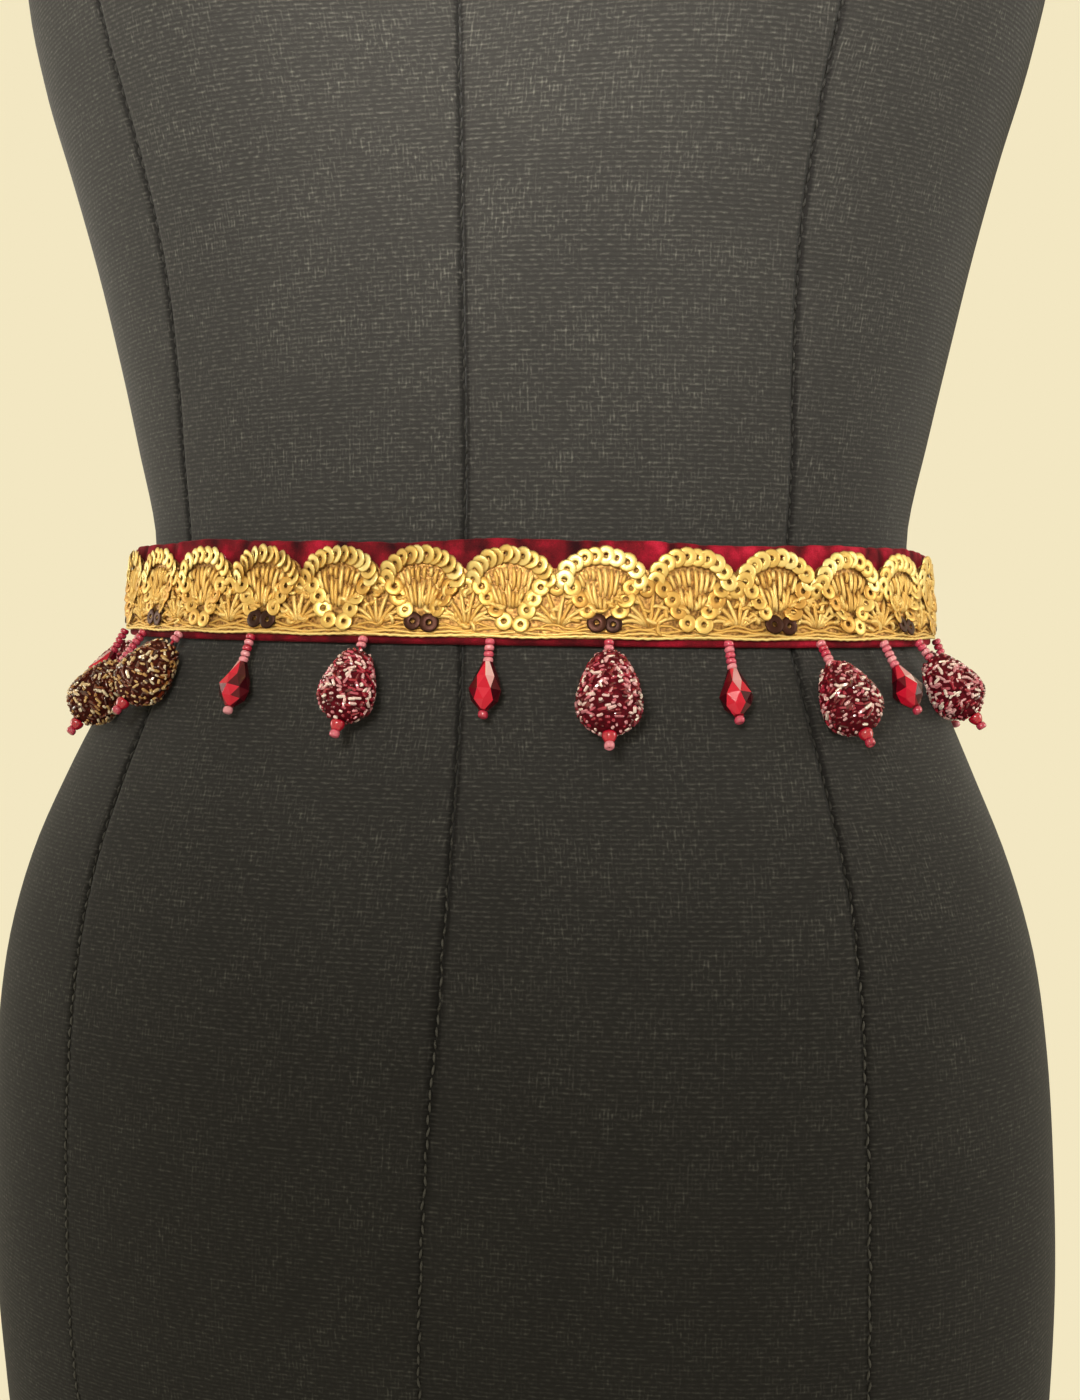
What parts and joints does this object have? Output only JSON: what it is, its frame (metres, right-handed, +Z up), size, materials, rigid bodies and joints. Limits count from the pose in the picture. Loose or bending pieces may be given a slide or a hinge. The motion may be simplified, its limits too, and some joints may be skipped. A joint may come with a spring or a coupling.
{
  "type": "velvet waist belt on a dress form",
  "caption": "Velvet waist belt with a scalloped sequin border and a fringe of beaded berries and cut glass drops, worn round the waist of a limbless dress form.",
  "frame": {"origin": "centre of the waist's section, on the plane of the dress form's flat base", "axes": "+Z up, -Y the way the front of the belt faces, +X to the wearer's left"},
  "size_m": [0.335, 0.241, 0.76],
  "materials": {
    "form_cover": "charcoal ribbed jersey stretched over the form, matt",
    "velvet": "dark red velvet with a short pile and a soft sheen",
    "gold_trim": "gold sequins and metal thread on net, shiny",
    "berry_beads": "dark red glass seed beads wound over a core, glossy",
    "crystal": "ruby red cut glass, polished",
    "string_beads": "pink and red glass seed beads on thread, glossy",
    "hook_metal": "small flat steel hooks, satin"
  },
  "bodies": {
    "root": {"berry_02": "berry_beads", "berry_02_beads": "string_beads", "berry_04": "berry_beads", "berry_04_beads": "string_beads", "berry_06": "berry_beads", "berry_06_beads": "string_beads", "berry_08": "berry_beads", "berry_08_beads": "string_beads", "berry_09": "berry_beads", "berry_09_beads": "string_beads", "berry_11": "berry_beads", "berry_11_beads": "string_beads", "berry_13": "berry_beads", "berry_13_beads": "string_beads", "berry_15": "berry_beads", "berry_15_beads": "string_beads", "berry_17": "berry_beads", "berry_17_beads": "string_beads", "berry_19": "berry_beads", "berry_19_beads": "string_beads", "berry_21": "berry_beads", "berry_21_beads": "string_beads", "berry_23": "berry_beads", "berry_23_beads": "string_beads", "crystal_01": "crystal", "crystal_01_beads": "string_beads", "crystal_03": "crystal", "crystal_03_beads": "string_beads", "crystal_05": "crystal", "crystal_05_beads": "string_beads", "crystal_07": "crystal", "crystal_07_beads": "string_beads", "crystal_10": "crystal", "crystal_10_beads": "string_beads", "crystal_12": "crystal", "crystal_12_beads": "string_beads", "crystal_14": "crystal", "crystal_14_beads": "string_beads", "crystal_16": "crystal", "crystal_16_beads": "string_beads", "crystal_18": "crystal", "crystal_18_beads": "string_beads", "crystal_20": "crystal", "crystal_20_beads": "string_beads", "crystal_22": "crystal", "crystal_22_beads": "string_beads", "dress_form": "form_cover", "lap_hook_1": "hook_metal", "lap_hook_2": "hook_metal", "sequin_border": "gold_trim", "velvet_band": "velvet"}
  },
  "joints": []
}
